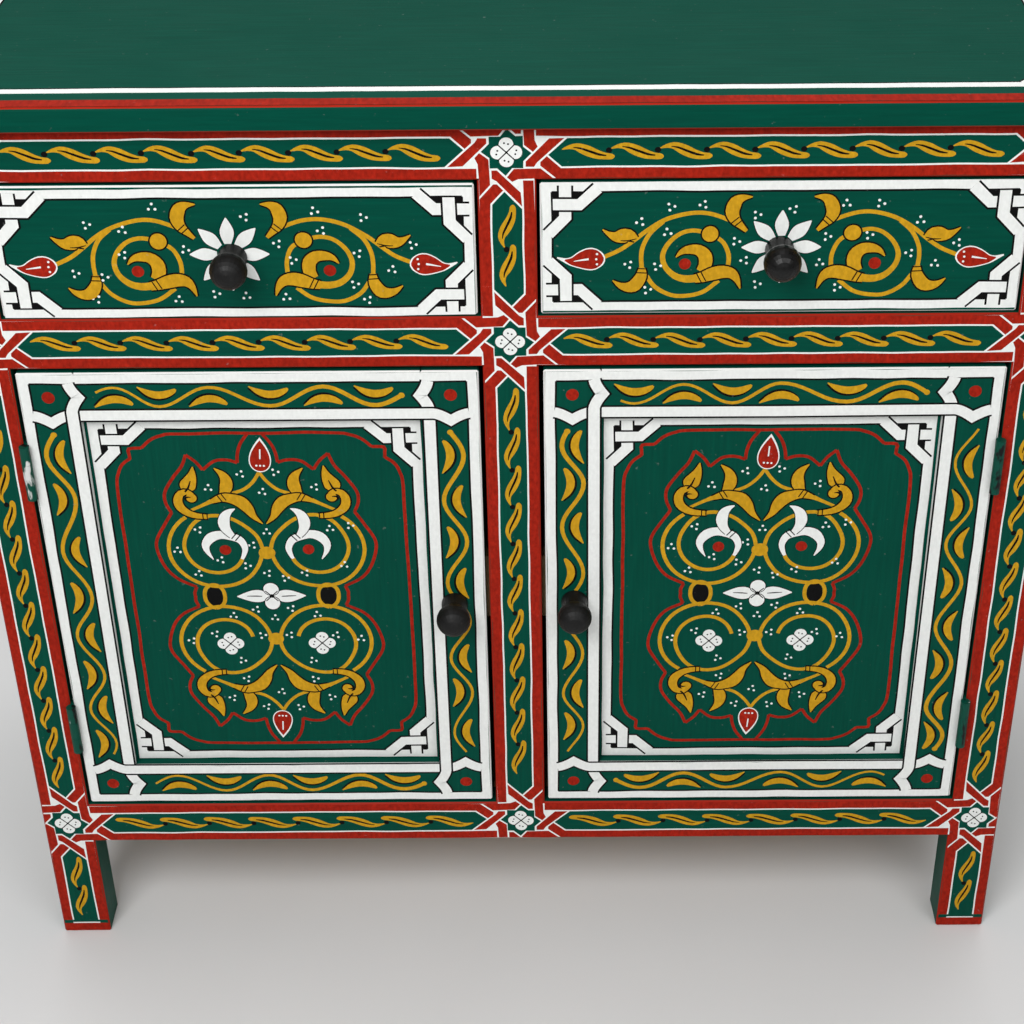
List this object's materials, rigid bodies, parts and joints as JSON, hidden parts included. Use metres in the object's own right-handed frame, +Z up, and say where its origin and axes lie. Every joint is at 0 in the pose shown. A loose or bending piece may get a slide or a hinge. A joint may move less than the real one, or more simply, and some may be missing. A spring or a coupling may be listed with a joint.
{
  "type": "painted dresser",
  "caption": "Painted wooden dresser: drawers side by side over a cupboard with frame-and-panel doors on barrel hinges, turned black knobs and traditional arabesque ornament.",
  "frame": {"origin": "on the floor, under the middle of the whole dresser's box", "axes": "+X to the right of someone facing the front, +Y towards the back, +Z up; the doors and drawers face -Y"},
  "size_m": [0.868, 0.416, 0.7993],
  "materials": {
    "green_paint": "wood brushed with deep green satin paint, hand-painted ornament in red, white, ochre and black",
    "bare_wood": "planed softwood, unpainted",
    "black_lacquer": "turned wood under worn black lacquer",
    "painted_steel": "steel, painted over with the frame",
    "red_paint": "brushed red paint of the ornament",
    "white_paint": "brushed white paint of the ornament",
    "ochre_paint": "brushed ochre paint of the ornament",
    "black_paint": "brushed black outlines of the ornament"
  },
  "bodies": {
    "carcass": {"top_board": "green_paint", "left_front_leg": "green_paint", "right_front_leg": "green_paint", "left_rear_leg": "green_paint", "right_rear_leg": "green_paint", "top_rail": "green_paint", "middle_rail": "green_paint", "bottom_rail": "green_paint", "upper_mullion": "green_paint", "lower_mullion": "green_paint", "left_side_top_rail": "green_paint", "left_side_bottom_rail": "green_paint", "left_side_panel": "green_paint", "right_side_top_rail": "green_paint", "right_side_bottom_rail": "green_paint", "right_side_panel": "green_paint", "rear_top_rail": "bare_wood", "rear_middle_rail": "bare_wood", "rear_bottom_rail": "bare_wood", "back_panel": "bare_wood", "cupboard_floor": "bare_wood", "shelf": "bare_wood", "left_shelf_cleat": "bare_wood", "right_shelf_cleat": "bare_wood", "left_drawer_runner": "bare_wood", "right_drawer_runner": "bare_wood", "centre_drawer_runner": "bare_wood", "door_stop": "bare_wood", "left_upper_hinge_frame_leaf": "painted_steel", "left_lower_hinge_frame_leaf": "painted_steel", "right_upper_hinge_frame_leaf": "painted_steel", "right_lower_hinge_frame_leaf": "painted_steel"},
    "left_drawer": {"left_drawer_front": "green_paint", "left_drawer_left_side": "bare_wood", "left_drawer_right_side": "bare_wood", "left_drawer_back": "bare_wood", "left_drawer_bottom": "bare_wood", "left_drawer_knob": "black_lacquer"},
    "right_drawer": {"right_drawer_front": "green_paint", "right_drawer_left_side": "bare_wood", "right_drawer_right_side": "bare_wood", "right_drawer_back": "bare_wood", "right_drawer_bottom": "bare_wood", "right_drawer_knob": "black_lacquer"},
    "left_door": {"left_door_hinge_stile": "green_paint", "left_door_meeting_stile": "green_paint", "left_door_top_rail": "green_paint", "left_door_bottom_rail": "green_paint", "left_door_panel": "green_paint", "left_door_knob": "black_lacquer", "left_upper_hinge_door_leaf": "painted_steel", "left_lower_hinge_door_leaf": "painted_steel"},
    "right_door": {"right_door_hinge_stile": "green_paint", "right_door_meeting_stile": "green_paint", "right_door_top_rail": "green_paint", "right_door_bottom_rail": "green_paint", "right_door_panel": "green_paint", "right_door_knob": "black_lacquer", "right_upper_hinge_door_leaf": "painted_steel", "right_lower_hinge_door_leaf": "painted_steel"}
  },
  "joints": [
    {"name": "left_drawer_slide", "type": "slide", "parent": "carcass", "child": "left_drawer", "axis": [0, -1, 0], "range_m": [0, 0.24]},
    {"name": "right_drawer_slide", "type": "slide", "parent": "carcass", "child": "right_drawer", "axis": [0, -1, 0], "range_m": [0, 0.24]},
    {"name": "left_door_hinge", "type": "hinge", "parent": "carcass", "child": "left_door", "pos_m": [-0.3765, -0.1765, 0.369], "axis": [0, 0, -1], "range_deg": [0, 170]},
    {"name": "right_door_hinge", "type": "hinge", "parent": "carcass", "child": "right_door", "pos_m": [0.3765, -0.1765, 0.369], "axis": [0, 0, 1], "range_deg": [0, 170]}
  ]
}
